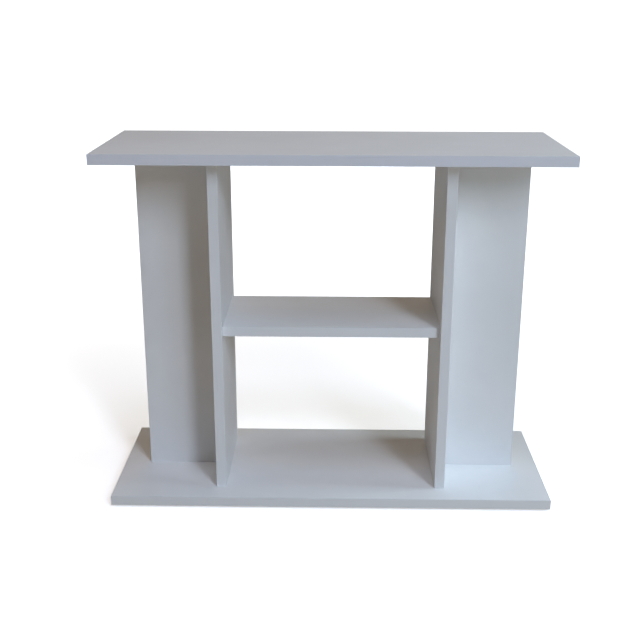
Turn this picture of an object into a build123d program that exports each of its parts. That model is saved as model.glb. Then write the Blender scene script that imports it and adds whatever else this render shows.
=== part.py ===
from build123d import *
import os

# Open aquarium stand made of straight melamine-faced boards.
# Two T-shaped columns (a deep upright with a wing board on its outer face)
# stand on a base board and carry a top board of the same size.  One fixed
# shelf ties the two uprights together.  The joints are glued dowels, cam
# fittings whose caps face away from the front, and countersunk screws driven
# up through the base board.
#
# Frame: origin on the floor under the middle of the stand, +Z up, +X to the
# right when looking at the front, front towards -Y.  Millimetres.

# ---------------------------------------------------------------- dimensions
WIDTH = 800.0            # top and base boards, left to right
DEPTH = 300.0            # top and base boards, front to rear
BOARD = 18.0             # thickness of every board
BAND = 1.0               # thickness of the edge strips
BAND_ROUND = 0.6         # rounding of the strips' two outer arrises
COLUMN_HEIGHT = 604.0    # clear height between base board and top board
BAY_WIDTH = 386.0        # clear width between the uprights
UPRIGHT_DEPTH = 216.0    # front to rear, strips included
WING_WIDTH = 140.0       # upright's outer face to the wing's free edge, strip included
SHELF_DEPTH = 190.0      # front to rear, strips included
SHELF_MID = 300.0        # shelf's mid plane above the base board's upper face
GLIDE_HEIGHT = 3.0       # plastic floor glides under the base board
GLIDE_D = 22.0

DOWEL_D = 8.0
DOWEL_L = 30.0
DOWEL_IN_FACE = 12.0     # share of a dowel that sits in a board's face
FIT = 0.1                # radial clearance of every drilled hole

CAM_D = 14.8
CAM_HOLE_D = 15.0
CAM_HEIGHT = 13.5
CAM_HOLE_DEPTH = 14.0
CAM_SETBACK = 34.0       # cam centre to the joint plane
CAP_D = 17.5
CAP_T = 0.8
BOLT_THREAD_L = 11.0

SCREW_L = 50.0           # countersunk panel screws through the base board
SCREW_R = 3.5
SCREW_HEAD_R = 5.0

# ------------------------------------------------------------ derived levels
Z_BASE0 = GLIDE_HEIGHT
Z_BASE1 = Z_BASE0 + BOARD
Z_TOP0 = Z_BASE1 + COLUMN_HEIGHT
Z_TOP1 = Z_TOP0 + BOARD
Z_SHELF = Z_BASE1 + SHELF_MID
X_IN = BAY_WIDTH / 2                 # upright's inner face
X_OUT = X_IN + BOARD                 # upright's outer face
X_MID = (X_IN + X_OUT) / 2
X_WING = X_OUT + WING_WIDTH          # wing's free edge
HALF_W, HALF_D = WIDTH / 2, DEPTH / 2
HALF_U = UPRIGHT_DEPTH / 2
HALF_S = SHELF_DEPTH / 2

SIDES = {"left": -1, "right": 1}

# -------------------------------------------------------- drilling positions
UPRIGHT_CAM_Y = (-78.0, 78.0)        # cams that pull the uprights to the top board
UPRIGHT_DOWEL_Y = (-46.0, 46.0)
UPRIGHT_SCREW_Y = (-78.0, 78.0)
WING_DOWEL_X = (246.0, 318.0)        # dowels between a wing's top edge and the top board
WING_BASE_DOWEL_X = (318.0,)
WING_SCREW_X = (258.0,)
WING_DOWEL_Z = (82.0, 342.0, 572.0)  # dowels between a wing and its upright
WING_CAM_Z = (170.0, 484.0)
SHELF_CAM_Y = (-58.0, 58.0)
SHELF_DOWEL_Y = (-26.0, 26.0)
GLIDE_XY = [(sx * x, sy * 126.0) for x in (202.0, 374.0) for sx in (-1, 1) for sy in (-1, 1)]


# ------------------------------------------------------------------- helpers
def block(x0, x1, y0, y1, z0, z1):
    """Solid box between two corners."""
    return Pos((x0 + x1) / 2, (y0 + y1) / 2, (z0 + z1) / 2) * Box(x1 - x0, y1 - y0, z1 - z0)


def strip(x0, x1, y0, y1, z0, z1, along, outward):
    """Edge strip: a flat bar whose two long outer arrises are rounded.
    along is the axis of its length, outward the signed axis of its bare face."""
    bar = block(x0, x1, y0, y1, z0, z1)
    sign = 1 if outward[0] == "+" else -1
    face_axis = {"X": Axis.X, "Y": Axis.Y, "Z": Axis.Z}[outward[1]]
    outer = bar.faces().sort_by(face_axis)[-1 if sign > 0 else 0]
    long_edges = outer.edges().filter_by({"X": Axis.X, "Y": Axis.Y, "Z": Axis.Z}[along])
    return fillet(long_edges, BAND_ROUND)


def bore(point, direction, radius, depth):
    """Cylinder that starts at point and runs depth along direction."""
    place = Plane(origin=point, z_dir=direction)
    return place * Cylinder(radius, depth, align=(Align.CENTER, Align.CENTER, Align.MIN))


def turned(point, direction, profile):
    """Solid of revolution.  profile holds (radius, distance along direction)."""
    points = [(0.0, profile[0][1])] + [(r, h) for r, h in profile] + [(0.0, profile[-1][1])]
    outline = Plane.XZ * make_face(Polyline(points, close=True))
    body = revolve(outline, Axis.Z)
    return Plane(origin=point, z_dir=direction) * body


def dowel(point, direction):
    """Beech dowel centred so that DOWEL_IN_FACE of it lies along direction from point."""
    v = Vector(*direction)
    start = Vector(*point) - v * (DOWEL_L - DOWEL_IN_FACE)
    r = DOWEL_D / 2
    return turned(start, v, [(r - 1.0, 0), (r, 1.0), (r, DOWEL_L - 1.0), (r - 1.0, DOWEL_L)])


def dowel_holes(point, direction):
    """(hole in the face board, hole in the edge board) for one dowel."""
    v = Vector(*direction)
    r = DOWEL_D / 2 + FIT
    return (bore(point, v, r, DOWEL_IN_FACE), bore(point, -v, r, DOWEL_L - DOWEL_IN_FACE))


def thread(start, length, core, crest, pitch):
    """Profile points of a coarse wood thread drawn as rings."""
    pts, h = [], start
    while h + pitch <= start + length:
        pts += [(core, h), (crest, h + pitch * 0.45), (core, h + pitch * 0.9)]
        h += pitch
    return pts


def cam_set(point, toward, face):
    """One cam fitting.  point lies on the joint plane at mid thickness, toward
    points from the board with the cam into the board that holds the bolt, and
    face is the normal of the surface that the cam is let into.
    Returns cam, bolt, cap, holes in the cam's board, hole in the bolt's board."""
    p, u, n = Vector(*point), Vector(*toward), Vector(*face)
    centre = p - u * CAM_SETBACK
    surface = centre + n * (BOARD / 2)
    bottom = surface - n * CAM_HOLE_DEPTH
    side = n.cross(u)

    cam = bore(bottom, n, CAM_D / 2, CAM_HEIGHT)
    top = bottom + n * CAM_HEIGHT
    cam -= bore(centre - u * 4.2, u, 3.8, 20.0)                      # pocket for the bolt's head
    cross_frame = Plane(origin=top - n * 2.2, x_dir=u, z_dir=n)
    cam -= cross_frame * Box(7.0, 1.7, 6.0, align=(Align.CENTER, Align.CENTER, Align.MIN))
    cam -= cross_frame * Box(1.7, 7.0, 6.0, align=(Align.CENTER, Align.CENTER, Align.MIN))
    mark = Plane(origin=top - n * 0.6 + u * 5.6, x_dir=u, z_dir=n)
    cam -= mark * Box(1.8, 0.9, 3.0, align=(Align.CENTER, Align.CENTER, Align.MIN))

    tip = p + u * BOLT_THREAD_L
    profile = [(2.4, 0.0)] + [(r, h) for r, h in thread(0.6, BOLT_THREAD_L - 1.4, 2.4, 3.0, 1.6)]
    profile += [(2.4, BOLT_THREAD_L), (3.9, BOLT_THREAD_L), (3.9, BOLT_THREAD_L + 1.2),
                (2.9, BOLT_THREAD_L + 1.8), (2.9, BOLT_THREAD_L + 25.5), (1.9, BOLT_THREAD_L + 27.0),
                (1.9, BOLT_THREAD_L + 31.4), (3.0, BOLT_THREAD_L + 32.2), (3.3, BOLT_THREAD_L + 33.4),
                (3.3, BOLT_THREAD_L + 35.2), (2.4, BOLT_THREAD_L + 36.4)]
    bolt = turned(tip, -u, profile)

    cap = bore(surface, n, CAP_D / 2, CAP_T)
    rim = cap.edges().filter_by(GeomType.CIRCLE).sort_by(Axis(surface, n))[-1]
    cap = fillet(rim, 0.5)
    lug = Plane(origin=surface - n * 2.0, x_dir=u, z_dir=n)
    cap += lug * Box(5.6, 1.3, 2.0, align=(Align.CENTER, Align.CENTER, Align.MIN))
    cap += lug * Box(1.3, 5.6, 2.0, align=(Align.CENTER, Align.CENTER, Align.MIN))

    own = [bore(bottom, n, CAM_HOLE_D / 2, CAM_HOLE_DEPTH), bore(p, -u, 4.0 + FIT, CAM_SETBACK)]
    other = bore(p, u, 3.0 + FIT, BOLT_THREAD_L)
    return cam, bolt, cap, own, other


def panel_screw(x, y):
    """Countersunk panel screw driven up from the base board's underside, with its holes.
    Returns screw, holes in the base board, hole in the board above."""
    z0 = Z_BASE0 + 0.4
    shank = BOARD - 0.4
    tip = SCREW_L - 2.0
    profile = [(SCREW_HEAD_R - 0.3, 0.0), (SCREW_HEAD_R, 0.5), (SCREW_R, 4.0), (SCREW_R, shank)]
    profile += thread(shank + 0.2, tip - shank - 2.4, 2.3, SCREW_R - 0.1, 3.0)
    profile += [(2.3, tip - 1.5), (0.8, SCREW_L)]
    screw = turned((x, y, z0), (0, 0, 1), profile)
    socket = extrude(RegularPolygon(2.0, 6, major_radius=False), 2.6)
    screw -= Pos(x, y, z0) * socket
    in_base = [
        turned((x, y, Z_BASE0), (0, 0, 1),
               [(SCREW_HEAD_R + FIT, 0.0), (SCREW_HEAD_R + FIT, 0.9 + FIT), (SCREW_R + FIT, 4.4 + FIT),
                (SCREW_R + FIT, BOARD)]),
    ]
    above = bore((x, y, Z_BASE1), (0, 0, 1), SCREW_R + FIT, SCREW_L + 0.4 - BOARD)
    return screw, in_base, above


# ------------------------------------------------- joinery and drilled holes
cuts = {}        # board name -> drilled holes
dowels, cams, bolts, caps, screws, glides, nails = [], [], [], [], [], [], []


def drill(board, *holes):
    cuts.setdefault(board, []).extend(holes)


def add_dowel(point, direction, face_board, edge_board):
    dowels.append(dowel(point, direction))
    in_face, in_edge = dowel_holes(point, direction)
    drill(face_board, in_face)
    drill(edge_board, in_edge)


def add_cam(point, toward, face, cam_board, bolt_board):
    cam, bolt, cap, own, other = cam_set(point, toward, face)
    cams.append(cam)
    bolts.append(bolt)
    caps.append(cap)
    drill(cam_board, *own)
    drill(bolt_board, other)


def add_screw(x, y, board):
    screw, in_base, above = panel_screw(x, y)
    screws.append(screw)
    drill("base_panel", *in_base)
    drill(board, above)


for side, s in SIDES.items():
    upright, wing = f"{side}_upright", f"{side}_wing"
    # upright to top board and base board
    for y in UPRIGHT_DOWEL_Y:
        add_dowel((s * X_MID, y, Z_TOP0), (0, 0, 1), "top_panel", upright)
        add_dowel((s * X_MID, y, Z_BASE1), (0, 0, -1), "base_panel", upright)
    for y in UPRIGHT_CAM_Y:
        add_cam((s * X_MID, y, Z_TOP0), (0, 0, 1), (s, 0, 0), upright, "top_panel")
    for y in UPRIGHT_SCREW_Y:
        add_screw(s * X_MID, y, upright)
    # wing to top board and base board
    for x in WING_DOWEL_X:
        add_dowel((s * x, 0, Z_TOP0), (0, 0, 1), "top_panel", wing)
    for x in WING_BASE_DOWEL_X:
        add_dowel((s * x, 0, Z_BASE1), (0, 0, -1), "base_panel", wing)
    for x in WING_SCREW_X:
        add_screw(s * x, 0, wing)
    # wing to upright, caps on the wing's rear face
    for z in WING_DOWEL_Z:
        add_dowel((s * X_OUT, 0, Z_BASE0 + z), (-s, 0, 0), upright, wing)
    for z in WING_CAM_Z:
        add_cam((s * X_OUT, 0, Z_BASE0 + z), (-s, 0, 0), (0, 1, 0), wing, upright)
    # shelf to upright, caps on the shelf's underside
    for y in SHELF_DOWEL_Y:
        add_dowel((s * X_IN, y, Z_SHELF), (s, 0, 0), upright, "shelf")
    for y in SHELF_CAM_Y:
        add_cam((s * X_IN, y, Z_SHELF), (s, 0, 0), (0, 0, -1), "shelf", upright)

# floor glides: a low plastic button held by one nail
for gx, gy in GLIDE_XY:
    glide = turned((gx, gy, 0), (0, 0, 1),
                   [(GLIDE_D / 2 - 1.6, 0.0), (GLIDE_D / 2 - 0.7, 0.35), (GLIDE_D / 2 - 0.1, 1.1),
                    (GLIDE_D / 2, 2.0), (GLIDE_D / 2, GLIDE_HEIGHT)])
    glide -= turned((gx, gy, 0), (0, 0, 1), [(3.4, 0.0), (2.9, 1.5), (1.1, 1.5), (1.1, GLIDE_HEIGHT)])
    glides.append(glide)
    nails.append(turned((gx, gy, 0), (0, 0, 1),
                        [(2.3, 0.6), (2.6, 0.9), (2.6, 1.5), (1.0, 1.5), (1.0, 13.0), (0.2, 15.0)]))
    drill("base_panel", bore((gx, gy, Z_BASE0), (0, 0, 1), 1.0 + FIT / 2, 12.0))

# -------------------------------------------------------------------- boards
boards = {
    "top_panel": block(-HALF_W + BAND, HALF_W - BAND, -HALF_D + BAND, HALF_D - BAND, Z_TOP0, Z_TOP1),
    "base_panel": block(-HALF_W + BAND, HALF_W - BAND, -HALF_D + BAND, HALF_D - BAND, Z_BASE0, Z_BASE1),
    "shelf": block(-X_IN, X_IN, -HALF_S + BAND, HALF_S - BAND, Z_SHELF - BOARD / 2, Z_SHELF + BOARD / 2),
}
for side, s in SIDES.items():
    xa, xb = sorted((s * X_IN, s * X_OUT))
    boards[f"{side}_upright"] = block(xa, xb, -HALF_U + BAND, HALF_U - BAND, Z_BASE1, Z_TOP0)
    xa, xb = sorted((s * X_OUT, s * (X_WING - BAND)))
    boards[f"{side}_wing"] = block(xa, xb, -BOARD / 2, BOARD / 2, Z_BASE1, Z_TOP0)

parts = {}
for name, board in boards.items():
    for hole in cuts.get(name, []):
        board -= hole
    parts[name] = board

# --------------------------------------------------------------- edge strips
for name, z0, z1 in (("top", Z_TOP0, Z_TOP1), ("base", Z_BASE0, Z_BASE1)):
    # long strips run the full width and cover the ends of the short ones
    parts[f"{name}_edge_front"] = strip(-HALF_W, HALF_W, -HALF_D, -HALF_D + BAND, z0, z1, "X", "-Y")
    parts[f"{name}_edge_rear"] = strip(-HALF_W, HALF_W, HALF_D - BAND, HALF_D, z0, z1, "X", "+Y")
    parts[f"{name}_edge_left"] = strip(-HALF_W, -HALF_W + BAND, -HALF_D + BAND, HALF_D - BAND, z0, z1, "Y", "-X")
    parts[f"{name}_edge_right"] = strip(HALF_W - BAND, HALF_W, -HALF_D + BAND, HALF_D - BAND, z0, z1, "Y", "+X")

for side, s in SIDES.items():
    xa, xb = sorted((s * X_IN, s * X_OUT))
    parts[f"{side}_upright_edge_front"] = strip(xa, xb, -HALF_U, -HALF_U + BAND, Z_BASE1, Z_TOP0, "Z", "-Y")
    parts[f"{side}_upright_edge_rear"] = strip(xa, xb, HALF_U - BAND, HALF_U, Z_BASE1, Z_TOP0, "Z", "+Y")
    xa, xb = sorted((s * (X_WING - BAND), s * X_WING))
    parts[f"{side}_wing_edge"] = strip(xa, xb, -BOARD / 2, BOARD / 2, Z_BASE1, Z_TOP0, "Z", "+X" if s > 0 else "-X")

zs0, zs1 = Z_SHELF - BOARD / 2, Z_SHELF + BOARD / 2
parts["shelf_edge_front"] = strip(-X_IN, X_IN, -HALF_S, -HALF_S + BAND, zs0, zs1, "X", "-Y")
parts["shelf_edge_rear"] = strip(-X_IN, X_IN, HALF_S - BAND, HALF_S, zs0, zs1, "X", "+Y")

# ----------------------------------------------------- groups of equal pieces
groups = {
    "wood_dowels": dowels,
    "cam_locks": cams,
    "cam_bolts": bolts,
    "cam_cover_caps": caps,
    "base_screws": screws,
    "floor_glides": glides,
    "glide_nails": nails,
}
for name, members in groups.items():
    parts[name] = Compound([m.solid() for m in members])

# -------------------------------------------------------------------- export
os.makedirs("parts", exist_ok=True)
for name, shape in parts.items():
    export_step(shape, f"parts/{name}.step")
    print(f"{name:28s} solids {len(shape.solids()):3d}  volume {shape.volume / 1000:9.2f} cm3")
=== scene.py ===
import math

import bpy
from mathutils import Matrix, Vector


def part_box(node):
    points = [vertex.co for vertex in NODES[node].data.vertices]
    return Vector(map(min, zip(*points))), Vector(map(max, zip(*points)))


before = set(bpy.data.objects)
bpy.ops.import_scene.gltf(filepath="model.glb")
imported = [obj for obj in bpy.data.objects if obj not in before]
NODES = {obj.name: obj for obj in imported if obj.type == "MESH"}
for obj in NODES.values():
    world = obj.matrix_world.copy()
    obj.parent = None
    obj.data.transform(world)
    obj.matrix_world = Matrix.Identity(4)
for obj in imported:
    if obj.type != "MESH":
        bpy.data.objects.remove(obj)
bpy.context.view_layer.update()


# =====================================================================
# Shader-building helpers
# =====================================================================
class Shader:
    """A Principled material with short names for the nodes that feed it."""

    def __init__(self, name, **constants):
        self.mat = bpy.data.materials.new(name)
        self.mat.use_nodes = True
        self.tree = self.mat.node_tree
        self.tree.nodes.clear()
        out = self.tree.nodes.new("ShaderNodeOutputMaterial")
        self.bsdf = self.tree.nodes.new("ShaderNodeBsdfPrincipled")
        self.tree.links.new(self.bsdf.outputs[0], out.inputs[0])
        for key, value in constants.items():
            self.bsdf.inputs[key.replace("_", " ")].default_value = value
        self.place = self.tree.nodes.new("ShaderNodeTexCoord").outputs["Object"]
        self.normal = self.tree.nodes.new("ShaderNodeNewGeometry").outputs["True Normal"]
        self._axes = None
        self._naxes = None

    def feed(self, socket, value):
        if hasattr(value, "is_output"):
            self.tree.links.new(value, socket)
        else:
            socket.default_value = value

    def to(self, name, value):
        self.feed(self.bsdf.inputs[name], value)

    def math(self, op, a, b=None, c=None, clamp=False):
        n = self.tree.nodes.new("ShaderNodeMath")
        n.operation, n.use_clamp = op, clamp
        for i, v in enumerate((a, b, c)):
            if v is not None:
                self.feed(n.inputs[i], v)
        return n.outputs[0]

    def split(self, vector):
        n = self.tree.nodes.new("ShaderNodeSeparateXYZ")
        self.feed(n.inputs[0], vector)
        return n.outputs

    def axis(self, letter):
        if self._axes is None:
            self._axes = self.split(self.place)
        return self._axes["XYZ".index(letter)]

    def facing(self, letter):
        if self._naxes is None:
            self._naxes = self.split(self.normal)
        return self.math("ABSOLUTE", self._naxes["XYZ".index(letter)])

    def stretch(self, sx, sy, sz):
        n = self.tree.nodes.new("ShaderNodeMapping")
        self.feed(n.inputs["Vector"], self.place)
        n.inputs["Scale"].default_value = (sx, sy, sz)
        return n.outputs[0]

    def noise(self, scale, detail=2.0, rough=0.5, vector=None, distortion=0.0, out="Fac"):
        n = self.tree.nodes.new("ShaderNodeTexNoise")
        self.feed(n.inputs["Vector"], vector or self.place)
        n.inputs["Scale"].default_value = scale
        n.inputs["Detail"].default_value = detail
        n.inputs["Roughness"].default_value = rough
        n.inputs["Distortion"].default_value = distortion
        return n.outputs[out]

    def cells(self, scale, vector=None, feature="F1", out="Distance", randomness=1.0):
        n = self.tree.nodes.new("ShaderNodeTexVoronoi")
        n.feature = feature
        self.feed(n.inputs["Vector"], vector or self.place)
        n.inputs["Scale"].default_value = scale
        n.inputs["Randomness"].default_value = randomness
        return n.outputs[out]

    def span(self, value, lo, hi, a=0.0, b=1.0, smooth=True):
        n = self.tree.nodes.new("ShaderNodeMapRange")
        n.interpolation_type = "SMOOTHSTEP" if smooth else "LINEAR"
        self.feed(n.inputs["Value"], value)
        for key, v in (("From Min", lo), ("From Max", hi), ("To Min", a), ("To Max", b)):
            n.inputs[key].default_value = v
        return n.outputs["Result"]

    def mix(self, factor, a, b, mode="MIX"):
        n = self.tree.nodes.new("ShaderNodeMix")
        n.data_type, n.blend_type = "RGBA", mode
        self.feed(n.inputs["Factor"], factor)
        self.feed(n.inputs["A"], a)
        self.feed(n.inputs["B"], b)
        return n.outputs["Result"]

    def mixf(self, factor, a, b):
        n = self.tree.nodes.new("ShaderNodeMix")
        n.data_type = "FLOAT"
        self.feed(n.inputs["Factor"], factor)
        self.feed(n.inputs["A"], a)
        self.feed(n.inputs["B"], b)
        return n.outputs["Result"]

    def ramp(self, value, stops):
        n = self.tree.nodes.new("ShaderNodeValToRGB")
        self.feed(n.inputs[0], value)
        bar = n.color_ramp
        while len(bar.elements) < len(stops):
            bar.elements.new(0.5)
        for e, (at, colour) in zip(bar.elements, stops):
            e.position, e.color = at, (*colour, 1.0)
        return n.outputs["Color"]

    def bump(self, height, distance, strength=1.0, under=None):
        n = self.tree.nodes.new("ShaderNodeBump")
        n.inputs["Distance"].default_value = distance
        n.inputs["Strength"].default_value = strength
        self.feed(n.inputs["Height"], height)
        if under is not None:
            self.tree.links.new(under, n.inputs["Normal"])
        return n.outputs["Normal"]


def grey(v):
    return (v, v, v, 1.0)


# =====================================================================
# Materials
# =====================================================================
WHITE = (0.825, 0.830, 0.832)        # melamine face, linear
WHITE_STRIP = (0.832, 0.838, 0.842)  # edge strip, a touch lighter
TOP_STRIP = (0.745, 0.752, 0.790)    # the top board's strips, a little greyer than its face


def melamine(name, axis, edges):
    """Melamine-faced particleboard.  axis is the board's thin direction.
    edges lists (axis, coordinate) of the board's free edges in its face.
    The faces carry the white film; everything else, such as drilled walls and
    raw ends, shows the pressed chips."""
    lo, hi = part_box(name)
    i = "XYZ".index(axis)
    centre, half = (lo[i] + hi[i]) / 2, (hi[i] - lo[i]) / 2
    s = Shader(f"melamine_{name}", Coat_Weight=0.0, IOR=1.5)

    # where the film is: on the outer faces only
    off = s.math("ABSOLUTE", s.math("SUBTRACT", s.math("ABSOLUTE", s.math("SUBTRACT", s.axis(axis), centre)), half))
    film = s.math("MULTIPLY", s.span(off, 0.0002, 0.0004, 1.0, 0.0), s.span(s.facing(axis), 0.6, 0.8))

    # distance in the face to the nearest free edge
    near = None
    for letter, at in edges:
        d = s.math("ABSOLUTE", s.math("SUBTRACT", s.axis(letter), at))
        near = d if near is None else s.math("MINIMUM", near, d)

    # film: very pale, with slow mottling, faint handling marks and a pearl grain
    slow = s.noise(5.0, 3.0, 0.55)
    mid = s.noise(38.0, 4.0, 0.6)
    colour = s.mix(s.span(slow, 0.35, 0.65), (*[c * 0.975 for c in WHITE], 1.0), (*[min(1.0, c * 1.02) for c in WHITE], 1.0))
    colour = s.mix(s.span(mid, 0.3, 0.75, 0.0, 0.35), colour, (WHITE[0] * 0.965, WHITE[1] * 0.97, WHITE[2] * 0.985, 1.0))
    specks = s.span(s.cells(520.0), 0.0, 0.09, 1.0, 0.0)
    rare = s.span(s.noise(60.0, 1.0, 0.5), 0.60, 0.66)
    colour = s.mix(s.math("MULTIPLY", s.math("MULTIPLY", specks, rare), 0.35), colour, (0.33, 0.33, 0.34, 1.0))

    if near is not None:
        # glue line beside the strip, and the occasional nick in the film's arris
        glue = s.span(near, 0.00008, 0.00030, 0.55, 0.0)
        colour = s.mix(glue, colour, (0.25, 0.24, 0.23, 1.0))
        ragged = s.math("ADD", near, s.math("MULTIPLY", s.math("SUBTRACT", s.noise(700.0, 3.0, 0.6), 0.5), 0.0011))
        nick = s.math("MULTIPLY", s.span(ragged, 0.00015, 0.00035, 1.0, 0.0),
                      s.span(s.noise(26.0, 2.0, 0.5), 0.60, 0.66))
        colour = s.mix(s.math("MULTIPLY", nick, 0.8), colour, (0.40, 0.31, 0.22, 1.0))
        # rubbed arris: the film is a little smoother and cleaner along the edge
        rub = s.span(near, 0.0, 0.006, 1.0, 0.0)
    else:
        nick, rub = 0.0, 0.0

    # pressed chips
    flakes = s.stretch(1.0, 1.0, 1.0)
    warp = s.noise(160.0, 2.0, 0.5, out="Color")
    chip_at = s.mix(0.004, flakes, warp, "ADD")
    tone = s.split(s.cells(430.0, vector=chip_at, out="Color"))[0]
    fine = s.noise(1500.0, 3.0, 0.65)
    chips = s.ramp(tone, [(0.0, (0.24, 0.145, 0.075)), (0.35, (0.42, 0.28, 0.155)), (0.7, (0.55, 0.39, 0.23)), (1.0, (0.66, 0.51, 0.33))])
    chips = s.mix(s.span(fine, 0.3, 0.7, 0.0, 0.35), chips, (0.20, 0.13, 0.07, 1.0))

    s.to("Base Color", s.mix(film, chips, colour))

    film_rough = s.math("ADD", s.math("MULTIPLY", s.math("SUBTRACT", mid, 0.5), 0.10),
                        s.math("MULTIPLY", s.math("SUBTRACT", slow, 0.5), 0.08))
    film_rough = s.math("ADD", film_rough, 0.46)
    if near is not None:
        film_rough = s.math("SUBTRACT", film_rough, s.math("MULTIPLY", rub, 0.04))
    s.to("Roughness", s.mixf(film, 0.88, film_rough))

    # pearl: soft pebbles about a millimetre across, a few hundredths high
    pearl = s.math("ADD", s.math("MULTIPLY", s.cells(820.0, feature="SMOOTH_F1"), 0.7), s.math("MULTIPLY", s.noise(1500.0, 2.0, 0.5), 0.5))
    wave = s.noise(14.0, 1.0, 0.4)
    normal = s.bump(wave, 0.00035, 0.30)
    normal = s.bump(s.math("MULTIPLY", pearl, film), 0.00006, 0.55, under=normal)
    rough_cut = s.math("MULTIPLY", s.math("ADD", tone, fine), s.math("SUBTRACT", 1.0, film))
    normal = s.bump(rough_cut, 0.0004, 0.8, under=normal)
    if near is not None:
        normal = s.bump(nick, 0.0003, -0.6, under=normal)
    s.to("Normal", normal)
    return s.mat


def strip_material(name, along, bare):
    """Plastic edge strip.  along is the axis of its length, bare the axis of its outer face."""
    base = TOP_STRIP if name.startswith("top_") else WHITE_STRIP
    s = Shader(f"edge_strip_{name}", IOR=1.49)
    stretched = [1.0, 1.0, 1.0]
    stretched["XYZ".index(along)] = 0.02
    run = s.stretch(*stretched)

    slow = s.noise(9.0, 2.0, 0.5)
    streak = s.noise(900.0, 3.0, 0.55, vector=run)
    colour = s.mix(s.span(slow, 0.35, 0.65), (*[c * 0.985 for c in base], 1.0), (*base, 1.0))
    colour = s.mix(s.span(streak, 0.35, 0.75, 0.0, 0.18), colour, (base[0] * 0.93, base[1] * 0.94, base[2] * 0.95, 1.0))

    # the two arrises were scraped and buffed: paler, smoother, with small dents
    flat = s.span(s.facing(bare), 0.90, 0.995)
    arris = s.math("SUBTRACT", 1.0, flat)
    colour = s.mix(s.math("MULTIPLY", arris, 0.35), colour, (0.66, 0.68, 0.70, 1.0))
    dents = s.math("MULTIPLY", s.span(s.noise(150.0, 3.0, 0.6), 0.62, 0.72), arris)
    colour = s.mix(s.math("MULTIPLY", dents, 0.4), colour, (0.42, 0.42, 0.43, 1.0))
    # scuffs where feet and cleaning reach the strip
    scuff = s.math("MULTIPLY", s.span(s.noise(70.0, 4.0, 0.7, vector=run), 0.60, 0.70),
                   s.span(s.noise(11.0, 1.0, 0.5), 0.48, 0.62))
    colour = s.mix(s.math("MULTIPLY", scuff, 0.16), colour, (0.36, 0.36, 0.37, 1.0))
    s.to("Base Color", colour)

    rough = s.math("ADD", 0.40, s.math("MULTIPLY", s.math("SUBTRACT", streak, 0.5), 0.12))
    rough = s.math("SUBTRACT", rough, s.math("MULTIPLY", arris, 0.07))
    rough = s.math("ADD", rough, s.math("MULTIPLY", scuff, 0.10))
    s.to("Roughness", rough)

    pearl = s.math("ADD", s.cells(950.0, feature="SMOOTH_F1"), s.math("MULTIPLY", streak, 0.5))
    normal = s.bump(s.noise(22.0, 1.0, 0.4, vector=run), 0.0003, 0.25)
    normal = s.bump(pearl, 0.00005, 0.45, under=normal)
    normal = s.bump(dents, 0.0002, -0.5, under=normal)
    s.to("Normal", normal)
    return s.mat


def beech():
    s = Shader("beech_dowel", IOR=1.45)
    run = s.stretch(1.0, 1.0, 1.0)
    rings = s.noise(240.0, 3.0, 0.6, vector=run, distortion=1.5)
    rays = s.span(s.cells(900.0), 0.0, 0.16, 1.0, 0.0)
    colour = s.ramp(rings, [(0.25, (0.50, 0.32, 0.17)), (0.55, (0.66, 0.46, 0.27)), (0.8, (0.74, 0.56, 0.36))])
    s.to("Base Color", s.mix(s.math("MULTIPLY", rays, 0.35), colour, (0.36, 0.21, 0.11, 1.0)))
    s.to("Roughness", s.span(rings, 0.3, 0.7, 0.55, 0.72))
    s.to("Normal", s.bump(rings, 0.0002, 0.5))
    return s.mat


def metal(name, base, dark, rough, grain=700.0):
    s = Shader(name, Metallic=1.0)
    spots = s.noise(grain, 4.0, 0.6)
    stain = s.noise(120.0, 3.0, 0.6)
    colour = s.mix(s.span(spots, 0.3, 0.75, 0.0, 0.5), (*base, 1.0), (*dark, 1.0))
    colour = s.mix(s.span(stain, 0.55, 0.75, 0.0, 0.5), colour, (*[c * 0.6 for c in dark], 1.0))
    s.to("Base Color", colour)
    s.to("Roughness", s.span(spots, 0.25, 0.75, rough - 0.08, rough + 0.14))
    s.to("Normal", s.bump(spots, 0.00008, 0.5))
    return s.mat


def moulded(name, base, rough, grain=1400.0):
    s = Shader(name, IOR=1.49)
    fine = s.noise(grain, 2.0, 0.5)
    slow = s.noise(45.0, 2.0, 0.5)
    grime = s.noise(230.0, 4.0, 0.65)
    colour = s.mix(s.span(slow, 0.3, 0.7), (*[c * 0.97 for c in base], 1.0), (*base, 1.0))
    colour = s.mix(s.span(grime, 0.58, 0.78, 0.0, 0.22), colour, (*[c * 0.62 for c in base], 1.0))
    s.to("Base Color", colour)
    s.to("Roughness", s.span(grime, 0.3, 0.7, rough - 0.05, rough + 0.08))
    s.to("Normal", s.bump(s.math("ADD", fine, s.math("MULTIPLY", slow, 0.5)), 0.00006, 0.5))
    return s.mat


def put(node, material):
    mesh = NODES[node].data
    mesh.materials.clear()
    mesh.materials.append(material)


# free edges of every board, in the plane of its faces
def edge_list(node, sides):
    lo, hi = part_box(node)
    return [("XYZ"["XYZ".index(side[1])], (hi if side[0] == "+" else lo)["XYZ".index(side[1])]) for side in sides]


BOARDS = {
    "top_panel": ("Z", ["-X", "+X", "-Y", "+Y"]),
    "base_panel": ("Z", ["-X", "+X", "-Y", "+Y"]),
    "shelf": ("Z", ["-Y", "+Y"]),
    "left_upright": ("X", ["-Y", "+Y"]),
    "right_upright": ("X", ["-Y", "+Y"]),
    "left_wing": ("Y", ["-X"]),
    "right_wing": ("Y", ["+X"]),
}
for node, (axis, sides) in BOARDS.items():
    put(node, melamine(node, axis, edge_list(node, sides)))

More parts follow.
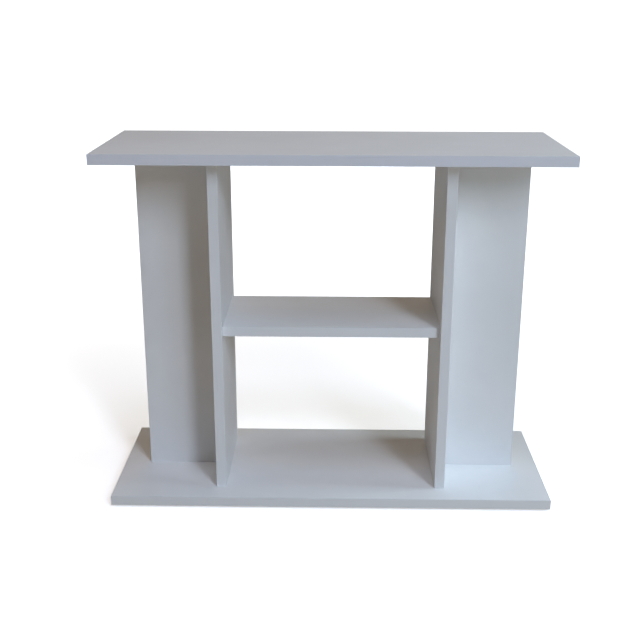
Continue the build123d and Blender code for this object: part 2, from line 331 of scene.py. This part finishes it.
STRIPS = {
    "top_edge_front": ("X", "Y"), "top_edge_rear": ("X", "Y"), "top_edge_left": ("Y", "X"), "top_edge_right": ("Y", "X"),
    "base_edge_front": ("X", "Y"), "base_edge_rear": ("X", "Y"), "base_edge_left": ("Y", "X"), "base_edge_right": ("Y", "X"),
    "left_upright_edge_front": ("Z", "Y"), "left_upright_edge_rear": ("Z", "Y"),
    "right_upright_edge_front": ("Z", "Y"), "right_upright_edge_rear": ("Z", "Y"),
    "left_wing_edge": ("Z", "X"), "right_wing_edge": ("Z", "X"),
    "shelf_edge_front": ("X", "Y"), "shelf_edge_rear": ("X", "Y"),
}
for node, (along, bare) in STRIPS.items():
    put(node, strip_material(node, along, bare))

put("wood_dowels", beech())
put("cam_locks", metal("cast_zinc", (0.50, 0.50, 0.50), (0.34, 0.34, 0.35), 0.48))
put("cam_bolts", metal("plated_bolt", (0.66, 0.65, 0.62), (0.50, 0.49, 0.46), 0.32))
put("base_screws", metal("plated_screw", (0.68, 0.63, 0.50), (0.52, 0.46, 0.34), 0.34))
put("glide_nails", metal("nail_steel", (0.55, 0.55, 0.56), (0.36, 0.36, 0.37), 0.36))
put("cam_cover_caps", moulded("cap_plastic", (0.70, 0.715, 0.735), 0.38))
put("floor_glides", moulded("glide_plastic", (0.52, 0.50, 0.45), 0.42))


# =====================================================================
# Floor, light, camera
# =====================================================================
def floor():
    """A large plain pale floor.  What it bounces onto the object is a dim warm brown
    diffuse that stands in for the warm light of a room in the object's shadows; what the
    camera sees of it is a lighter, evenly lit white that still darkens where the object shades it."""
    mesh = bpy.data.meshes.new("floor")
    r = 400.0
    mesh.from_pydata([(-r, -r, 0), (r, -r, 0), (r, r, 0), (-r, r, 0)], [], [(0, 1, 2, 3)])
    obj = bpy.data.objects.new("floor", mesh)
    bpy.context.scene.collection.objects.link(obj)
    obj.location.z = -0.0004
    mat = bpy.data.materials.new("pale_floor")
    mat.use_nodes = True
    t = mat.node_tree
    t.nodes.clear()
    out = t.nodes.new("ShaderNodeOutputMaterial")
    # bounce-only colour: a warm brown that stands in for warm room light, tinting the object's shadows brown
    plain = t.nodes.new("ShaderNodeBsdfDiffuse")
    plain.inputs["Color"].default_value = (0.68, 0.60, 0.50, 1.0)
    seen = t.nodes.new("ShaderNodeBsdfDiffuse")
    seen.inputs["Color"].default_value = (*FLOOR_SEEN, 1.0)
    glow = t.nodes.new("ShaderNodeEmission")
    glow.inputs["Color"].default_value = (1.0, 1.0, 1.0, 1.0)
    place = t.nodes.new("ShaderNodeTexCoord")
    length = t.nodes.new("ShaderNodeVectorMath")
    length.operation = "LENGTH"
    t.links.new(place.outputs["Object"], length.inputs[0])
    far = t.nodes.new("ShaderNodeMapRange")
    far.interpolation_type = "SMOOTHSTEP"
    t.links.new(length.outputs["Value"], far.inputs["Value"])
    for key, v in (("From Min", 0.3), ("From Max", 2.2), ("To Min", FLOOR_GLOW[0]), ("To Max", FLOOR_GLOW[1])):
        far.inputs[key].default_value = v
    t.links.new(far.outputs["Result"], glow.inputs["Strength"])
    both = t.nodes.new("ShaderNodeAddShader")
    t.links.new(seen.outputs[0], both.inputs[0])
    t.links.new(glow.outputs[0], both.inputs[1])
    path = t.nodes.new("ShaderNodeLightPath")
    pick = t.nodes.new("ShaderNodeMixShader")
    t.links.new(path.outputs["Is Camera Ray"], pick.inputs[0])
    t.links.new(plain.outputs[0], pick.inputs[1])
    t.links.new(both.outputs[0], pick.inputs[2])
    t.links.new(pick.outputs[0], out.inputs[0])
    mesh.materials.append(mat)
    return obj


def lamp(name, azimuth, elevation, distance, size, power, colour, aim=(0.0, 0.0, 0.32)):
    """Soft rectangular light.  Azimuth 0 is straight in front, positive to the right."""
    data = bpy.data.lights.new(name, "AREA")
    data.shape, data.size, data.size_y = "RECTANGLE", size[0], size[1]
    data.energy, data.color = power, colour
    obj = bpy.data.objects.new(name, data)
    bpy.context.scene.collection.objects.link(obj)
    a, e = math.radians(azimuth), math.radians(elevation)
    away = Vector((math.sin(a) * math.cos(e), -math.cos(a) * math.cos(e), math.sin(e)))
    obj.location = Vector(aim) + away * distance
    obj.rotation_mode = "QUATERNION"
    obj.rotation_quaternion = away.to_track_quat("Z", "Y")
    return obj


FLOOR_SEEN = (1.25, 1.26, 1.28)
FLOOR_GLOW = (0.40, 1.00)
floor()
LAMPS = [
    lamp("key_window", 28.0, 33.0, 7.0, (1.26, 3.5), 196.0, (0.74, 0.84, 1.0)),
    lamp("key_window_far_pane", 42.0, 24.0, 7.0, (1.12, 2.24), 52.7, (0.65, 0.80, 1.0)),
    lamp("side_window", 90.0, 28.0, 2.4, (0.7, 0.9), 20.9, (0.75, 0.915, 1.0)),
    lamp("overhead", 0.0, 72.0, 5.0, (1.2, 1.4), 42.0, (0.70, 0.79, 1.0)),
    lamp("overhead_rear", 180.0, 60.0, 4.0, (1.2, 1.4), 11.0, (1.0, 0.62, 0.30)),
    lamp("warm_fill", -80.0, 25.0, 2.4, (0.9, 0.9), 4.9, (1.0, 0.68, 0.36)),
    lamp("rear_window", 180.0, 3.0, 5.0, (0.8, 0.6), 34.0, (0.54, 0.76, 1.0)),
    lamp("left_window", -90.0, 3.0, 4.0, (0.6, 0.5), 8.0, (0.52, 0.76, 1.0)),
]
for low in LAMPS[-2:]:
    low.visible_glossy = False   # these two only lift the far sides: no sheen along the boards


def studio_world():
    """Dim warm light from behind for the scene, plain white for the camera."""
    w = bpy.data.worlds.new("studio")
    bpy.context.scene.world = w
    w.use_nodes = True
    t = w.node_tree
    t.nodes.clear()
    out = t.nodes.new("ShaderNodeOutputWorld")
    pick = t.nodes.new("ShaderNodeMixShader")
    path = t.nodes.new("ShaderNodeLightPath")
    fill = t.nodes.new("ShaderNodeBackground")
    seen = t.nodes.new("ShaderNodeBackground")
    where = t.nodes.new("ShaderNodeTexCoord")
    split = t.nodes.new("ShaderNodeSeparateXYZ")
    t.links.new(where.outputs["Generated"], split.inputs[0])
    behind = t.nodes.new("ShaderNodeMath")
    behind.operation = "MAXIMUM"
    behind.inputs[1].default_value = 0.0
    t.links.new(split.outputs["Y"], behind.inputs[0])
    t.links.new(behind.outputs[0], fill.inputs["Strength"])
    fill.inputs["Color"].default_value = (0.262, 0.221, 0.170, 1.0)
    seen.inputs["Color"].default_value = (1.0, 1.0, 1.0, 1.0)
    seen.inputs["Strength"].default_value = 1.0
    t.links.new(path.outputs["Is Camera Ray"], pick.inputs[0])
    t.links.new(fill.outputs[0], pick.inputs[1])
    t.links.new(seen.outputs[0], pick.inputs[2])
    t.links.new(pick.outputs[0], out.inputs[0])
    return w


world = studio_world()

# Camera: standing a little over two stand-widths away, looking down on the top board
CAM_AT = Vector((0.005416, -1.736131, 0.887179))
PITCH, YAW, ROLL = 0.317526, 0.017607, -0.001880
FOCAL_PX = 978.249
cam_data = bpy.data.cameras.new("camera")
cam_data.sensor_width = 36.0
cam_data.lens = FOCAL_PX * 36.0 / 636.0
cam_data.clip_start, cam_data.clip_end = 0.05, 500.0
cam = bpy.data.objects.new("camera", cam_data)
bpy.context.scene.collection.objects.link(cam)
look = Vector((-math.sin(YAW) * math.cos(PITCH), math.cos(YAW) * math.cos(PITCH), -math.sin(PITCH)))
flat_right = Vector((math.cos(YAW), math.sin(YAW), 0.0))
down = look.cross(flat_right)
right = math.cos(ROLL) * flat_right + math.sin(ROLL) * down
down = -math.sin(ROLL) * flat_right + math.cos(ROLL) * look.cross(flat_right)
m = Matrix((right, -down, -look)).transposed().to_4x4()
m.translation = CAM_AT
cam.matrix_world = m
bpy.context.scene.camera = cam

scene = bpy.context.scene
scene.view_settings.view_transform = "Standard"
scene.view_settings.look = "None"
scene.view_settings.exposure = 0.0
scene.view_settings.gamma = 1.0
